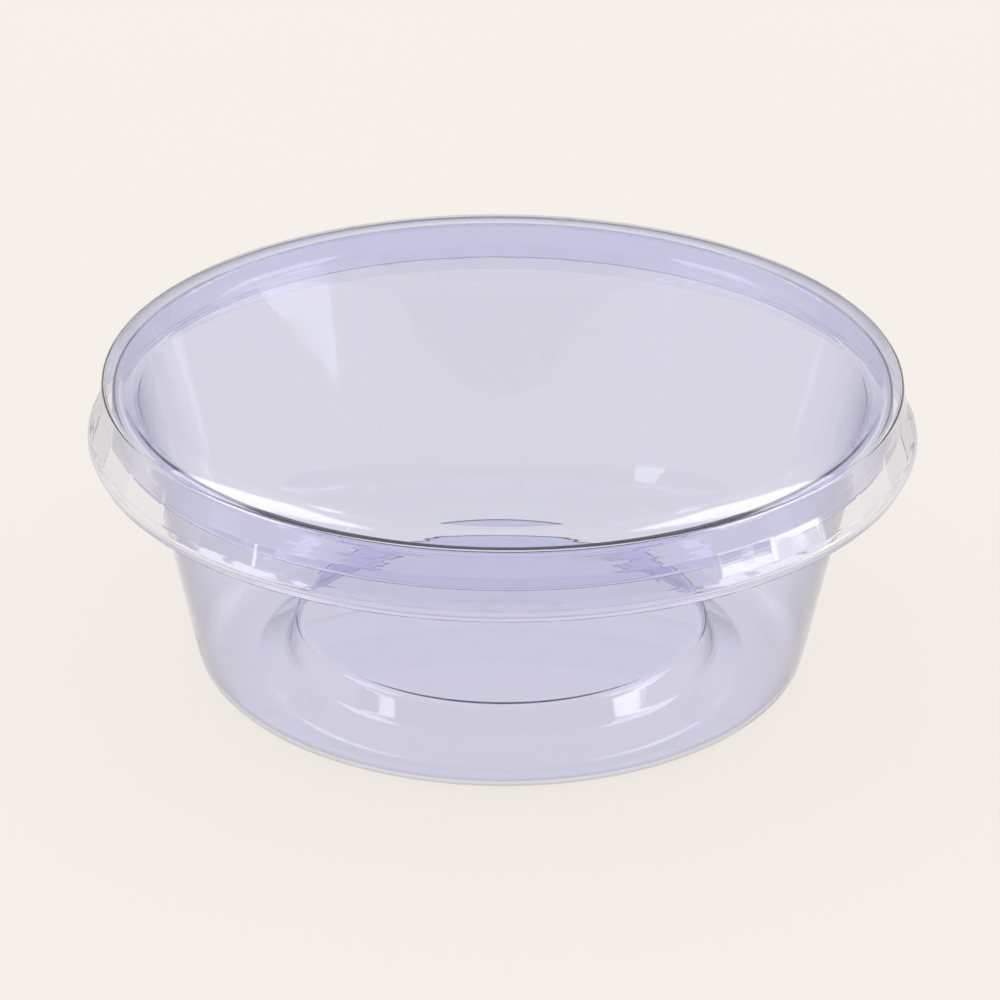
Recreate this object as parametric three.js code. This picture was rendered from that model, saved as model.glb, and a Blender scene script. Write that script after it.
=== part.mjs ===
// A small round see-through sauce container with its press-on lid, empty and closed.
// Both pieces are thin sheets of clear plastic, formed over a mould. Each is worked out
// here as one line through the middle of the sheet, rounded at its corners, thickened
// to both sides and turned about the Z axis. Z = 0 is the plane that the cup stands on.
import * as THREE from 'three';

// ---- driving dimensions, in millimetres and degrees ----
const CUP_SHEET = 0.4;            // thickness of the cup's plastic
const LID_SHEET = 0.36;           // thickness of the lid's plastic

const PLATFORM_RADIUS = 19.8;     // raised middle of the cup's floor
const PLATFORM_HEIGHT = 5.0;
const PLATFORM_EDGE_ROUND = 0.6;
const PLATFORM_FOOT_RADIUS = 20.8;
const PLATFORM_FOOT_HEIGHT = 1.9;
const PLATFORM_FOOT_ROUND = 1.0;
const STAND_RADIUS = 24.0;        // inner side of the flat ring that the cup stands on
const STAND_ROUND = 1.5;
const WALL_SLOPE = 12.4;          // lean of the cup's side from upright
const WALL_RADIUS = 34.35;        // outer radius of the side at WALL_LEVEL
const WALL_LEVEL = 23.4;
const HEEL_ROUND = 3.15;          // outer round between floor and side
const MOUTH_HEIGHT = 28.75;       // where the side bends out into the flared rim
const MOUTH_ROUND = 1.2;
const RIM_RADIUS = 37.3;          // where the rim turns down, were it not rounded
const RIM_HEIGHT = 30.1;
const RIM_ROUND = 0.5;
const RIM_LEG_RADIUS = 37.7;      // lower end of the turned-down edge
const RIM_LEG_LEVEL = 25.8;

const PANEL_HEIGHT = 31.0;        // top of the lid's flat panel
const SHOULDER_RADIUS = 36.6;     // where the panel would fall off, were it not rounded
const SHOULDER_ROUND = 8.5;
const SKIRT_TOP_RADIUS = 38.6;    // where the shoulder turns down into the skirt
const SKIRT_TOP_HEIGHT = 30.3;
const SKIRT_TOP_ROUND = 0.35;
const LEDGE_RADIUS = 38.8;        // lower end of the skirt's round upper part
const LEDGE_LEVEL = 28.4;
const LIP_RADIUS = 40.1;          // corner of the lip, the widest place, 40.0 once rounded
const LIP_LEVEL = 24.6;
const LIP_ROUND = 0.4;
const LIP_FOOT_RADIUS = 39.7;     // bottom edge of the lip
const LIP_FOOT_LEVEL = 23.6;

const FLAT_COUNT = 38;            // flats pressed round the skirt, between ledge and lip
const FLAT_TOP_RADIUS = 38.9;     // outer radius at the corners between the flats
const FLAT_TOP_LEVEL = 27.7;
const FLAT_FOOT_RADIUS = 39.7;
const FLAT_FOOT_LEVEL = 25.05;
const FLAT_TURN = 2.3;            // a corner stands this far round from the front, -Y

// ---- fineness of the mesh ----
const AROUND = 2 * FLAT_COUNT;    // a side at each corner and at the middle of each flat
const ROUND_STEP = 22;            // degrees of bend between two points of a rounded corner

const radians = THREE.MathUtils.degToRad;

// A line through corners [radius, height, round], with an arc in place of each corner
// that has a round. Every point comes with the sheet's normal there.
function roundedLine(corners) {
  const places = corners.map(([radius, height]) => new THREE.Vector2(radius, height));
  const directions = places.slice(1).map((place, index) => place.clone().sub(places[index]).normalize());
  const sideOf = (direction) => new THREE.Vector2(direction.y, -direction.x);
  const line = [];
  corners.forEach(([, , round], index) => {
    const arriving = directions[index - 1] ?? directions[index];
    const leaving = directions[index] ?? arriving;
    if (!round) {
      line.push({ place: places[index], normal: sideOf(arriving.clone().add(leaving).normalize()) });
      return;
    }
    const bend = Math.atan2(arriving.cross(leaving), arriving.dot(leaving));
    const turnSide = -Math.sign(bend);
    const reach = round * Math.tan(Math.abs(bend) / 2);
    const start = places[index].clone().addScaledVector(arriving, -reach);
    const centre = start.addScaledVector(sideOf(arriving), turnSide * round);
    const steps = Math.max(2, Math.ceil(Math.abs(bend) / radians(ROUND_STEP)));
    for (let step = 0; step <= steps; step += 1) {
      const normal = sideOf(arriving).rotateAround(new THREE.Vector2(), bend * step / steps);
      const place = centre.clone().addScaledVector(normal, -turnSide * round);
      line.push({ place, normal });
    }
  });
  return line;
}

// Thickens a line to both sides into the outline of a sheet. An outline that reaches
// the axis stays open there, and any other closes on itself.
function sheetOutline(line, thickness) {
  const offset = (amount) => ({ place, normal }) => {
    const moved = place.clone().addScaledVector(normal, amount);
    moved.x = place.x === 0 ? 0 : moved.x;
    return moved;
  };
  const outside = line.map(offset(thickness / 2));
  const inside = line.map(offset(-thickness / 2)).reverse();
  const outline = [...outside, ...inside];
  if (outline[0].x > 0) {
    outline.push(outline[0].clone());
  }
  return outline;
}

// Turns an outline about the axis and stands the axis upright along Z.
function turned(outline) {
  const geometry = new THREE.LatheGeometry(outline, AROUND);
  geometry.rotateX(Math.PI / 2);
  return geometry;
}

// Presses the flats into the skirt: what lies between two of their corners moves in to
// the chord from one corner to the other. Then turns the ring of flats to its place.
function pressFlats(geometry) {
  const points = geometry.attributes.position;
  const skirtInside = SKIRT_TOP_RADIUS - 2 * LID_SHEET;
  const flatsBegin = (LEDGE_LEVEL + FLAT_TOP_LEVEL) / 2;
  const flatsEnd = (FLAT_FOOT_LEVEL + LIP_LEVEL) / 2;
  const flatAngle = 2 * Math.PI / FLAT_COUNT;
  for (let index = 0; index < points.count; index += 1) {
    const x = points.getX(index);
    const y = points.getY(index);
    const height = points.getZ(index);
    if (Math.hypot(x, y) < skirtInside || height > flatsBegin || height < flatsEnd) {
      continue;
    }
    const turn = Math.atan2(y, x) / flatAngle;
    const offCorner = Math.abs(turn - Math.round(turn)) * flatAngle;
    const chord = Math.cos(flatAngle / 2) / Math.cos(flatAngle / 2 - offCorner);
    points.setXY(index, x * chord, y * chord);
  }
  geometry.rotateZ(radians(FLAT_TURN) - flatAngle / 2);
}

// The cup: a raised platform in the floor, a slope from its foot down to a flat ring to
// stand on, a rounded heel, a leaning side, and a flared rim whose edge turns down.
function cupGeometry() {
  const middle = CUP_SHEET / 2;
  const lean = Math.tan(radians(WALL_SLOPE));
  const sideMiddle = middle / Math.cos(radians(WALL_SLOPE));
  const sideRadius = (height) => WALL_RADIUS - (WALL_LEVEL - height) * lean - sideMiddle;
  const mouthLevel = MOUTH_HEIGHT - middle;
  const line = roundedLine([
    [0, PLATFORM_HEIGHT - middle],
    [PLATFORM_RADIUS, PLATFORM_HEIGHT - middle, PLATFORM_EDGE_ROUND],
    [PLATFORM_FOOT_RADIUS, PLATFORM_FOOT_HEIGHT - middle, PLATFORM_FOOT_ROUND],
    [STAND_RADIUS, middle, STAND_ROUND],
    [sideRadius(middle), middle, HEEL_ROUND - middle],
    [sideRadius(mouthLevel), mouthLevel, MOUTH_ROUND],
    [RIM_RADIUS, RIM_HEIGHT - middle, RIM_ROUND],
    [RIM_LEG_RADIUS - middle, RIM_LEG_LEVEL],
  ]);
  return turned(sheetOutline(line, CUP_SHEET));
}

// The lid: a flat panel, a gently rounded shoulder over the cup's rim, and a skirt that
// widens down to a rounded lip, with flats pressed into it above the lip.
function lidGeometry() {
  const middle = LID_SHEET / 2;
  // drawn from the lip up to the axis, with the inside of the container on its left
  const line = roundedLine([
    [LIP_FOOT_RADIUS - middle, LIP_FOOT_LEVEL],
    [LIP_RADIUS - middle, LIP_LEVEL, LIP_ROUND],
    [FLAT_FOOT_RADIUS - middle, FLAT_FOOT_LEVEL],
    [FLAT_TOP_RADIUS - middle, FLAT_TOP_LEVEL],
    [LEDGE_RADIUS - middle, LEDGE_LEVEL],
    [SKIRT_TOP_RADIUS - middle, SKIRT_TOP_HEIGHT - middle, SKIRT_TOP_ROUND],
    [SHOULDER_RADIUS, PANEL_HEIGHT - middle, SHOULDER_ROUND],
    [0, PANEL_HEIGHT - middle],
  ]);
  const geometry = turned(sheetOutline(line, LID_SHEET));
  pressFlats(geometry);
  return geometry;
}

// ---- the container, put together ----
const clearPlastic = () => new THREE.MeshStandardMaterial({
  color: 0xd8d6e8,
  roughness: 0.06,
  metalness: 0,
  transparent: true,
  opacity: 0.35,
});

function piece(name, geometry) {
  const mesh = new THREE.Mesh(geometry, clearPlastic());
  mesh.name = name;
  return mesh;
}

const container = new THREE.Group();
container.add(piece('cup', cupGeometry()));
container.add(piece('lid', lidGeometry()));

export default container;
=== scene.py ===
import math

import bpy
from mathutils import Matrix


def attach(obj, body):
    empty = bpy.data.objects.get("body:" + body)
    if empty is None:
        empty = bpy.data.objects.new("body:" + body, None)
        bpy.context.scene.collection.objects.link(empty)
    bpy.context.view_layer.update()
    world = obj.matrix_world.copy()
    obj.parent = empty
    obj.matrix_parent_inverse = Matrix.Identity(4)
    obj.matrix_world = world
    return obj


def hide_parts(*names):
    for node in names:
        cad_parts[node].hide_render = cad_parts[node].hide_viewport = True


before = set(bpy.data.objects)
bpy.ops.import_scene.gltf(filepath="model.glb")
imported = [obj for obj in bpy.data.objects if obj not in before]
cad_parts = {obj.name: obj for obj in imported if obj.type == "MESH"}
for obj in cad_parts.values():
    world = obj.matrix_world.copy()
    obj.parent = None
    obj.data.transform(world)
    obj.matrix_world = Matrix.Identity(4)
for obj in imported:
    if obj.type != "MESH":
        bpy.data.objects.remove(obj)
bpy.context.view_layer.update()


# ---- The view ----
# The photograph looks down on the container from its front, through a long lens from
# well back, so that its rings are nearly true ellipses. The picture leans a little.
MM = 0.001
VIEW_TARGET_HEIGHT = 15 * MM
VIEW_DISTANCE = 700 * MM
VIEW_ELEVATION = math.radians(26.0)
VIEW_LEAN = math.radians(0.4)
PICTURE_WIDTH = 1000           # pixels
PIXELS_PER_MM = 10.287         # at the target, in the container's middle
TARGET_COLUMN = 501.9          # where the target falls in the picture
TARGET_ROW = 516.9
SENSOR_WIDTH = 36.0            # millimetres, as Blender takes it
NEAREST_SEEN = 10 * MM
FARTHEST_SEEN = 50.0

bpy.ops.object.select_all(action="DESELECT")
bpy.ops.object.camera_add(
    location=(0, -VIEW_DISTANCE * math.cos(VIEW_ELEVATION),
              VIEW_TARGET_HEIGHT + VIEW_DISTANCE * math.sin(VIEW_ELEVATION)),
    rotation=(math.pi / 2 - VIEW_ELEVATION, 0, 0))
camera = bpy.context.object
camera.name = "camera"
camera.rotation_euler.rotate_axis("Z", VIEW_LEAN)
seen_width = PICTURE_WIDTH / PIXELS_PER_MM * MM
camera.data.sensor_width = SENSOR_WIDTH
camera.data.lens = SENSOR_WIDTH * VIEW_DISTANCE / seen_width
camera.data.shift_x = (PICTURE_WIDTH / 2 - TARGET_COLUMN) / PICTURE_WIDTH
camera.data.shift_y = (TARGET_ROW - PICTURE_WIDTH / 2) / PICTURE_WIDTH
camera.data.clip_start = NEAREST_SEEN
camera.data.clip_end = FARTHEST_SEEN
bpy.context.scene.camera = camera


# ---- The floor ----
# A pale cream sheet that the container stands on, matt and large enough to fill the
# picture from every side. It is lit mostly from below, as a light table is, so that
# shadows stay faint. Its paint has a very faint unevenness, as laid paper has.
FLOOR_RADIUS = 3.0
FLOOR_SIDES = 128
FLOOR_DROP = 0.02 * MM
FLOOR_COLOUR = (0.20, 0.188, 0.162, 1)
FLOOR_COLOUR_SHADED = (0.188, 0.176, 0.153, 1)
FLOOR_GLOW_COLOUR = (0.764, 0.731, 0.680, 1)
FLOOR_ROUGHNESS = 0.9
FLOOR_GLOSS = 0.1
FLOOR_CLOUD_SCALE = 9          # clouds to the metre

bpy.ops.object.select_all(action="DESELECT")
bpy.ops.mesh.primitive_circle_add(
    vertices=FLOOR_SIDES, radius=FLOOR_RADIUS, fill_type="NGON", location=(0, 0, -FLOOR_DROP))
floor = bpy.context.object
floor.name = "floor"
bpy.ops.object.transform_apply(location=True, rotation=True, scale=True)
floor_paint = bpy.data.materials.new("floor_paint")
floor_paint.use_nodes = True
nodes = floor_paint.node_tree.nodes
links = floor_paint.node_tree.links
place = nodes.new("ShaderNodeTexCoord")
clouds = nodes.new("ShaderNodeTexNoise")
clouds.inputs["Scale"].default_value = FLOOR_CLOUD_SCALE
tones = nodes.new("ShaderNodeMix")
tones.data_type = "RGBA"
tones.inputs["A"].default_value = FLOOR_COLOUR
tones.inputs["B"].default_value = FLOOR_COLOUR_SHADED
links.new(place.outputs["Object"], clouds.inputs["Vector"])
links.new(clouds.outputs["Fac"], tones.inputs["Factor"])
floor_shader = nodes["Principled BSDF"]
links.new(tones.outputs["Result"], floor_shader.inputs["Base Color"])
floor_shader.inputs["Roughness"].default_value = FLOOR_ROUGHNESS
floor_shader.inputs["Specular IOR Level"].default_value = FLOOR_GLOSS
floor_shader.inputs["Emission Color"].default_value = FLOOR_GLOW_COLOUR
floor_shader.inputs["Emission Strength"].default_value = 1
floor.data.materials.append(floor_paint)


# ---- The cup ----
# One sheet of clear plastic drawn down into a mould: a raised platform in the floor, a
# flat ring to stand on, a rounded heel, a leaning side, and a flared rim whose edge turns
# down. It is drawn as the line through the middle of the sheet, spun and thickened.
CUP_SHEET = 0.4 * MM
PLATFORM_RADIUS = 19.8 * MM
PLATFORM_HEIGHT = 5.0 * MM
PLATFORM_EDGE_ROUND = 0.6 * MM
PLATFORM_FOOT_RADIUS = 20.8 * MM
PLATFORM_FOOT_HEIGHT = 1.9 * MM
PLATFORM_FOOT_ROUND = 1.0 * MM
STAND_RADIUS = 24.0 * MM
STAND_ROUND = 1.5 * MM
WALL_SLOPE = math.radians(12.4)
WALL_RADIUS = 34.35 * MM
WALL_LEVEL = 23.4 * MM
HEEL_ROUND = 3.15 * MM
MOUTH_HEIGHT = 28.75 * MM      # where the side bends out into the rim
MOUTH_ROUND = 1.2 * MM
RIM_RADIUS = 37.3 * MM         # where the rim turns down
RIM_HEIGHT = 30.1 * MM
RIM_ROUND = 0.5 * MM
RIM_LEG_RADIUS = 37.7 * MM
RIM_LEG_LEVEL = 25.8 * MM
CUP_SIDES = 228
ROUND_PARTS = 8                # edges along each rounded corner
HOLD = 0.3 * MM                # from a rounded corner to the points that hold its flanks flat
MERGE = 0.005 * MM             # points nearer than this are one point
CUT_EDGE_ROUND = 0.1 * MM
CUT_EDGE_PARTS = 2
CUT_EDGE_ANGLE = math.radians(70)   # a sharper bend than this is a cut edge
SMOOTH_ANGLE = math.radians(35)


def bend_at(before, here, after):
    """The angle by which a line of [radius, height, round] corners turns at one of them."""
    arriving = math.atan2(here[1] - before[1], here[0] - before[0])
    leaving = math.atan2(after[1] - here[1], after[0] - here[0])
    return abs((leaving - arriving + math.pi) % (2 * math.pi) - math.pi)


def reaches(corners):
    """How far each corner's round reaches along the line to either side of the corner."""
    inner = [here[2] * math.tan(bend_at(before, here, after) / 2)
             for before, here, after in zip(corners, corners[1:], corners[2:])]
    return [0, *inner, 0]


def held_line(corners):
    """The line's points: its corners, and two points that hold each straight stretch."""
    reach = reaches(corners)
    points = [corners[0][:2]]
    for index in range(len(corners) - 1):
        start, end = corners[index], corners[index + 1]
        length = math.dist(start[:2], end[:2])
        near = reach[index] + HOLD
        far = length - reach[index + 1] - HOLD
        if far - near > HOLD:
            for along in (near, far):
                share = along / length
                points.append((start[0] + share * (end[0] - start[0]),
                               start[1] + share * (end[1] - start[1])))
        points.append(end[:2])
    return points


def select_where(piece, wanted):
    """Selects the points for which wanted(place) is true, and the edges and faces between."""
    bpy.ops.object.mode_set(mode="OBJECT")
    mesh = piece.data
    chosen = [bool(wanted(point.co)) for point in mesh.vertices]
    mesh.vertices.foreach_set("select", chosen)
    for parts in (mesh.edges, mesh.polygons):
        parts.foreach_set("select", [all(chosen[i] for i in part.vertices) for part in parts])
    bpy.ops.object.mode_set(mode="EDIT")


def draw_line(name, corners):
    """A new piece in edit mode: the middle line of its sheet, with its corners rounded."""
    bpy.ops.object.select_all(action="DESELECT")
    bpy.ops.mesh.primitive_plane_add(size=MM, location=(0, 0, 0))
    piece = bpy.context.object
    piece.name = name
    piece.data.name = name
    bpy.ops.object.mode_set(mode="EDIT")
    bpy.ops.mesh.select_all(action="SELECT")
    bpy.ops.mesh.merge(type="CENTER")
    points = held_line(corners)
    bpy.ops.transform.translate(value=(points[0][0], 0, points[0][1]))
    for last, point in zip(points, points[1:]):
        step = (point[0] - last[0], 0, point[1] - last[1])
        bpy.ops.mesh.extrude_region_move(TRANSFORM_OT_translate={"value": step})
    for (radius, height, corner_round), reach in zip(corners, reaches(corners)):
        if corner_round:
            select_where(piece, lambda co: math.hypot(co.x - radius, co.z - height) < MERGE)
            bpy.ops.mesh.bevel(
                offset=reach, segments=ROUND_PARTS, affect="VERTICES", clamp_overlap=False)
    return piece


def thicken(piece, thickness):
    """Closes the turned sheet's seams, gives it its thickness and softens its cut edges."""
    bpy.ops.mesh.select_all(action="SELECT")
    bpy.ops.mesh.remove_doubles(threshold=MERGE)
    bpy.ops.mesh.normals_make_consistent(inside=False)
    bpy.ops.object.mode_set(mode="OBJECT")
    sheet = piece.modifiers.new("thickness", "SOLIDIFY")
    sheet.thickness = thickness
    sheet.offset = 0
    sheet.use_even_offset = True
    bpy.ops.object.modifier_apply(modifier="thickness")
    soften = piece.modifiers.new("cut_edges", "BEVEL")
    soften.width = CUT_EDGE_ROUND
    soften.segments = CUT_EDGE_PARTS
    soften.limit_method = "ANGLE"
    soften.angle_limit = CUT_EDGE_ANGLE
    bpy.ops.object.modifier_apply(modifier="cut_edges")
    bpy.ops.object.shade_smooth_by_angle(angle=SMOOTH_ANGLE)


cup_middle = CUP_SHEET / 2


def side_radius(height):
    """Radius of the middle of the cup's side at a height."""
    lean = (WALL_LEVEL - height) * math.tan(WALL_SLOPE)
    return WALL_RADIUS - lean - cup_middle / math.cos(WALL_SLOPE)


mouth_level = MOUTH_HEIGHT - cup_middle
cup = draw_line("cup_shell", [
    (0, PLATFORM_HEIGHT - cup_middle, 0),
    (PLATFORM_RADIUS, PLATFORM_HEIGHT - cup_middle, PLATFORM_EDGE_ROUND),
    (PLATFORM_FOOT_RADIUS, PLATFORM_FOOT_HEIGHT - cup_middle, PLATFORM_FOOT_ROUND),
    (STAND_RADIUS, cup_middle, STAND_ROUND),
    (side_radius(cup_middle), cup_middle, HEEL_ROUND - cup_middle),
    (side_radius(mouth_level), mouth_level, MOUTH_ROUND),
    (RIM_RADIUS, RIM_HEIGHT - cup_middle, RIM_ROUND),
    (RIM_LEG_RADIUS - cup_middle, RIM_LEG_LEVEL, 0),
])
bpy.ops.mesh.select_all(action="SELECT")
bpy.ops.mesh.spin(steps=CUP_SIDES, angle=2 * math.pi, center=(0, 0, 0), axis=(0, 0, 1))
thicken(cup, CUP_SHEET)

# Clear plastic with a faint lavender tone. Where the sheet is seen at a slant, as at a bent
# edge, its colour turns to a painted edge shade that draws its outlines dark grey. It was
# drawn slightly unevenly and carries small scuffs.
PLASTIC_COLOUR = (0.868, 0.877, 0.985, 1)
# painted shade: the dark colour the sheet is given where it is seen at a slant
PLASTIC_PAINTED_EDGE_SHADE = (0.26, 0.26, 0.4, 1)
PLASTIC_IOR = 1.5
PLASTIC_ROUGHNESS = 0.003
SCUFF_ROUGHNESS = 0.1
SCUFF_SCALE = 420              # scuffs to the metre
SCUFF_BEGIN = 0.66             # share of the noise at which a scuff begins
SCUFF_FULL = 0.82
WAVE_SCALE = 70                # waves of the drawn sheet to the metre
WAVE_HEIGHT = 0.03 * MM
PAINTED_EDGE_SHADE_BEGIN = 0.45              # slant, as a share, at which the painted edge shade begins

clear_plastic = bpy.data.materials.new("clear_plastic")
clear_plastic.use_nodes = True
nodes = clear_plastic.node_tree.nodes
links = clear_plastic.node_tree.links
shader = nodes["Principled BSDF"]
shader.inputs["IOR"].default_value = PLASTIC_IOR
shader.inputs["Transmission Weight"].default_value = 1
place = nodes.new("ShaderNodeTexCoord")
scuffs = nodes.new("ShaderNodeTexNoise")
scuffs.inputs["Scale"].default_value = SCUFF_SCALE
scuffs.inputs["Detail"].default_value = 0
gloss = nodes.new("ShaderNodeMapRange")
gloss.inputs["From Min"].default_value = SCUFF_BEGIN
gloss.inputs["From Max"].default_value = SCUFF_FULL
gloss.inputs["To Min"].default_value = PLASTIC_ROUGHNESS
gloss.inputs["To Max"].default_value = SCUFF_ROUGHNESS
links.new(place.outputs["Object"], scuffs.inputs["Vector"])
links.new(scuffs.outputs["Fac"], gloss.inputs["Value"])
links.new(gloss.outputs["Result"], shader.inputs["Roughness"])
waves = nodes.new("ShaderNodeTexNoise")
waves.inputs["Scale"].default_value = WAVE_SCALE
waves.inputs["Detail"].default_value = 0
ripple = nodes.new("ShaderNodeBump")
ripple.inputs["Distance"].default_value = WAVE_HEIGHT
links.new(place.outputs["Object"], waves.inputs["Vector"])
links.new(waves.outputs["Fac"], ripple.inputs["Height"])
links.new(ripple.outputs["Normal"], shader.inputs["Normal"])
# painted edge shade: the base colour darkens towards the slanting edges of the sheet
facing = nodes.new("ShaderNodeLayerWeight")
edge = nodes.new("ShaderNodeMapRange")
edge.interpolation_type = "SMOOTHSTEP"
edge.inputs["From Min"].default_value = PAINTED_EDGE_SHADE_BEGIN
tone = nodes.new("ShaderNodeMix")
tone.data_type = "RGBA"
tone.inputs["A"].default_value = PLASTIC_COLOUR
tone.inputs["B"].default_value = PLASTIC_PAINTED_EDGE_SHADE
links.new(facing.outputs["Facing"], edge.inputs["Value"])
links.new(edge.outputs["Result"], tone.inputs["Factor"])
links.new(tone.outputs["Result"], shader.inputs["Base Color"])
cup.data.materials.append(clear_plastic)
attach(cup, "root")
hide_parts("cup")


# ---- The lid ----
# One sheet of the same plastic, pressed over the cup's rim: a flat panel that falls off in
# a gentle shoulder, and a skirt that widens to a rounded lip. Flats are pressed round it.
LID_SHEET = 0.36 * MM
PANEL_HEIGHT = 31.0 * MM
SHOULDER_RADIUS = 36.6 * MM
SHOULDER_ROUND = 8.5 * MM
SKIRT_TOP_RADIUS = 38.6 * MM
SKIRT_TOP_HEIGHT = 30.3 * MM
SKIRT_TOP_ROUND = 0.35 * MM
LEDGE_RADIUS = 38.8 * MM
LEDGE_LEVEL = 28.4 * MM
LIP_RADIUS = 40.1 * MM         # corner of the lip, 40.0 mm once it is rounded
LIP_LEVEL = 24.6 * MM
LIP_ROUND = 0.4 * MM
LIP_FOOT_RADIUS = 39.7 * MM
LIP_FOOT_LEVEL = 23.6 * MM
FLAT_COUNT = 38
FLAT_TOP_RADIUS = 38.9 * MM    # at the corners between the flats
FLAT_TOP_LEVEL = 27.7 * MM
FLAT_FOOT_RADIUS = 39.7 * MM
FLAT_FOOT_LEVEL = 25.05 * MM
FLAT_TURN = math.radians(2.3)  # a corner stands this far round from the front, -Y
FLAT_PARTS = 4                 # edges across a flat, without the two at its corners
FLAT_ANGLE = 2 * math.pi / FLAT_COUNT
CORNER_ANGLE = math.radians(1.0)    # of the narrow strip that keeps each corner crisp
LEVEL_DIGITS = 7               # of a height in metres, to tell the sheet's levels apart


def turn_about_axis(angle):
    """Turns what is selected about the container's axis, anticlockwise from above."""
    # with no window the operator turns the other way
    bpy.ops.transform.rotate(value=-angle, orient_axis="Z", center_override=(0, 0, 0))


lid_middle = LID_SHEET / 2
lid = draw_line("lid_shell", [
    (0, PANEL_HEIGHT - lid_middle, 0),
    (SHOULDER_RADIUS, PANEL_HEIGHT - lid_middle, SHOULDER_ROUND),
    (SKIRT_TOP_RADIUS - lid_middle, SKIRT_TOP_HEIGHT - lid_middle, SKIRT_TOP_ROUND),
    (LEDGE_RADIUS - lid_middle, LEDGE_LEVEL, 0),
    (FLAT_TOP_RADIUS - lid_middle, FLAT_TOP_LEVEL, 0),
    (FLAT_FOOT_RADIUS - lid_middle, FLAT_FOOT_LEVEL, 0),
    (LIP_RADIUS - lid_middle, LIP_LEVEL, LIP_ROUND),
    (LIP_FOOT_RADIUS - lid_middle, LIP_FOOT_LEVEL, 0),
])

# one flat's sector of the lid, from the corner on its one side to that on its other
bpy.ops.mesh.select_all(action="SELECT")
turn_about_axis(FLAT_ANGLE / 2)
for parts, angle in (
        (1, CORNER_ANGLE / 2), (FLAT_PARTS, FLAT_ANGLE - CORNER_ANGLE), (1, CORNER_ANGLE / 2)):
    bpy.ops.mesh.spin(steps=parts, angle=angle, center=(0, 0, 0), axis=(0, 0, 1))


def in_skirt(place):
    """Whether a point of the lid is in its skirt, and not in its panel or shoulder."""
    return math.hypot(place.x, place.y) > SKIRT_TOP_RADIUS - 2 * LID_SHEET


# the flat is pressed level by level, to the chord between its corners
bpy.ops.object.mode_set(mode="OBJECT")
levels = sorted({round(point.co.z, LEVEL_DIGITS) for point in lid.data.vertices
                 if in_skirt(point.co)
                 and FLAT_FOOT_LEVEL - MERGE < point.co.z < FLAT_TOP_LEVEL + MERGE})
for level in levels:
    select_where(lid, lambda co: in_skirt(co) and abs(co.z - level) < MERGE)
    along = (level - FLAT_FOOT_LEVEL) / (FLAT_TOP_LEVEL - FLAT_FOOT_LEVEL)
    radius = FLAT_FOOT_RADIUS + along * (FLAT_TOP_RADIUS - FLAT_FOOT_RADIUS) - lid_middle
    bpy.ops.transform.resize(
        value=(0, 1, 1), center_override=(radius * math.cos(FLAT_ANGLE / 2), 0, level))

bpy.ops.object.mode_set(mode="EDIT")
bpy.ops.mesh.select_all(action="SELECT")
bpy.ops.mesh.spin(
    steps=FLAT_COUNT, angle=2 * math.pi, dupli=True, center=(0, 0, 0), axis=(0, 0, 1))
bpy.ops.mesh.select_all(action="SELECT")
turn_about_axis(FLAT_TURN)
thicken(lid, LID_SHEET)

# The lid's plastic is the cup's, a little paler.
LID_COLOUR = (0.918, 0.924, 0.972, 1)

lid_plastic = clear_plastic.copy()
lid_plastic.name = "lid_plastic"
lid_plastic.node_tree.nodes[tone.name].inputs["A"].default_value = LID_COLOUR
lid.data.materials.append(lid_plastic)
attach(lid, "root")
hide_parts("lid")


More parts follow.
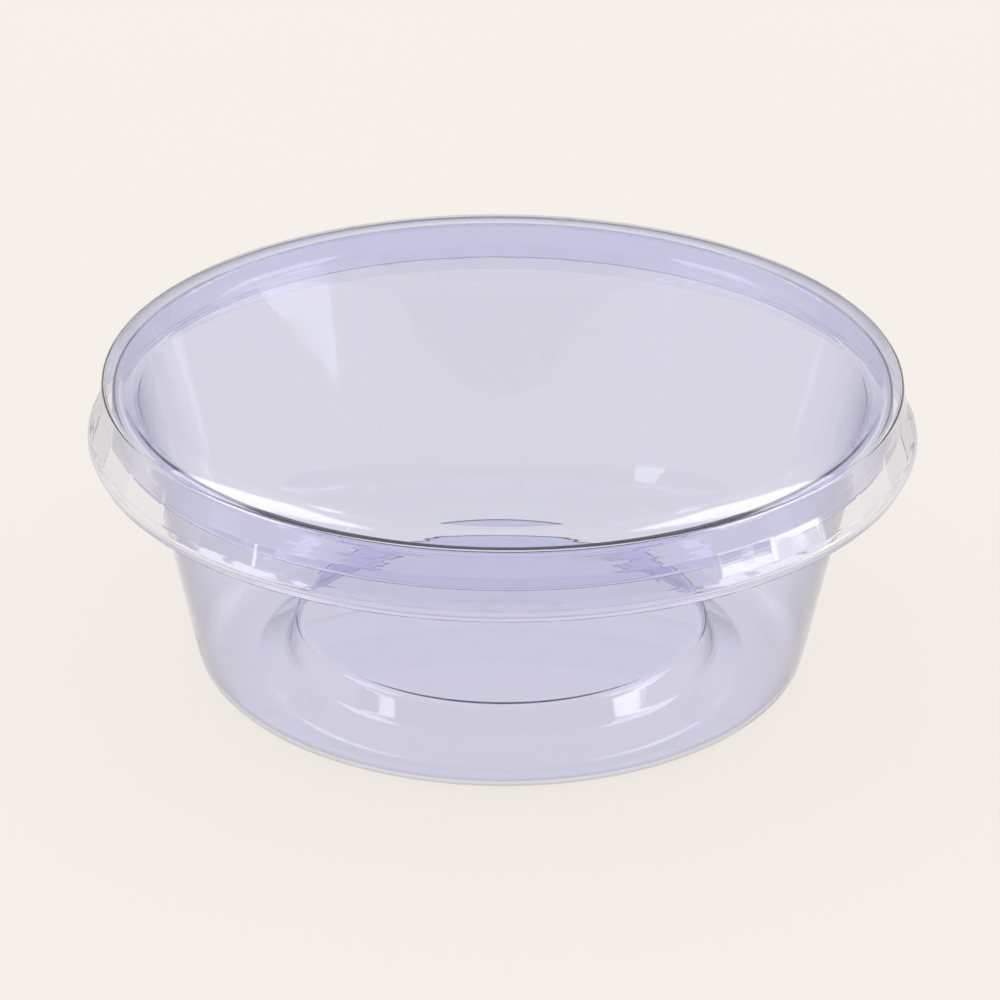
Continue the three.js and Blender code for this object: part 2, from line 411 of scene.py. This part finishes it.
# ---- The light ----
# A bright, even room with a dim skyline, which draws the plastic's bends dark. A tall
# soft box stands at each side over low white strips, and two smaller boxes stand raised
# behind. They give the plastic its bright streaks and show only as gloss.
SKYLINE_COLOUR = (0.28, 0.28, 0.33, 1)
ROOM_COLOUR = (0.76, 0.76, 0.89, 1)
SKYLINE_TOP = 0.02             # height, as a share of the sky's, at which the skyline ends
ROOM_BEGIN = 0.32              # and at which the room has its full brightness
BOXES = (
    # turns of the two sides from the front, -Y, in degrees, distance from the axis, levels
    # of the lower and the upper edge, and radiance
    (-60, -93, 0.6, 0.084, 0.6, 3.0),      # the tall box on the left
    (60, 103, 0.6, 0.084, 0.6, 3.0),       # the tall box on the right
    (-50, -82, 0.6, 0.03, 0.045, 4.0),     # the strip under it, on the left
    (60, 93, 0.6, 0.008, 0.038, 4.5),      # the strip under it, on the right
    (60, 93, 0.25, 0.002, 0.021, 1.8),     # a dimmer strip nearer by, on the right
    (-148, -170, 0.6, 0.54, 0.77, 2.3),    # the raised boxes behind
    (148, 170, 0.6, 0.54, 0.77, 2.3),
)
MOST_BOUNCES = 20
GLOSS_BOUNCES = 8
FLOOR_BOUNCES = 1

room = bpy.data.worlds.new("room")
room.use_nodes = True
nodes = room.node_tree.nodes
links = room.node_tree.links
direction = nodes.new("ShaderNodeTexCoord")
split = nodes.new("ShaderNodeSeparateXYZ")
ramp = nodes.new("ShaderNodeMapRange")
ramp.interpolation_type = "SMOOTHSTEP"
ramp.inputs["From Min"].default_value = SKYLINE_TOP
ramp.inputs["From Max"].default_value = ROOM_BEGIN
sky = nodes.new("ShaderNodeMix")
sky.data_type = "RGBA"
sky.inputs["A"].default_value = SKYLINE_COLOUR
sky.inputs["B"].default_value = ROOM_COLOUR
links.new(direction.outputs["Generated"], split.inputs["Vector"])
links.new(split.outputs["Z"], ramp.inputs["Value"])
links.new(ramp.outputs["Result"], sky.inputs["Factor"])
links.new(sky.outputs["Result"], nodes["Background"].inputs["Color"])
bpy.context.scene.world = room

for first_side, second_side, distance, lowest, highest, radiance in BOXES:
    first_turn, second_turn = math.radians(first_side), math.radians(second_side)
    turn = (first_turn + second_turn) / 2
    width = 2 * distance * math.tan(abs(second_turn - first_turn) / 2)
    height = highest - lowest
    middle_level = (lowest + highest) / 2
    bpy.ops.object.light_add(
        type="AREA",
        location=(distance * math.sin(turn), -distance * math.cos(turn), middle_level),
        rotation=(math.pi / 2, 0, turn))
    soft_box = bpy.context.object
    soft_box.data.shape = "RECTANGLE"
    soft_box.data.size, soft_box.data.size_y = width, height
    soft_box.data.energy = radiance * math.pi * width * height
    soft_box.visible_diffuse = False

# Plain display tones, and enough bounces for light to cross every sheet in its way.
scene = bpy.context.scene
scene.view_settings.view_transform = "Standard"
scene.cycles.max_bounces = MOST_BOUNCES
scene.cycles.transmission_bounces = MOST_BOUNCES
scene.cycles.glossy_bounces = GLOSS_BOUNCES
scene.cycles.diffuse_bounces = FLOOR_BOUNCES
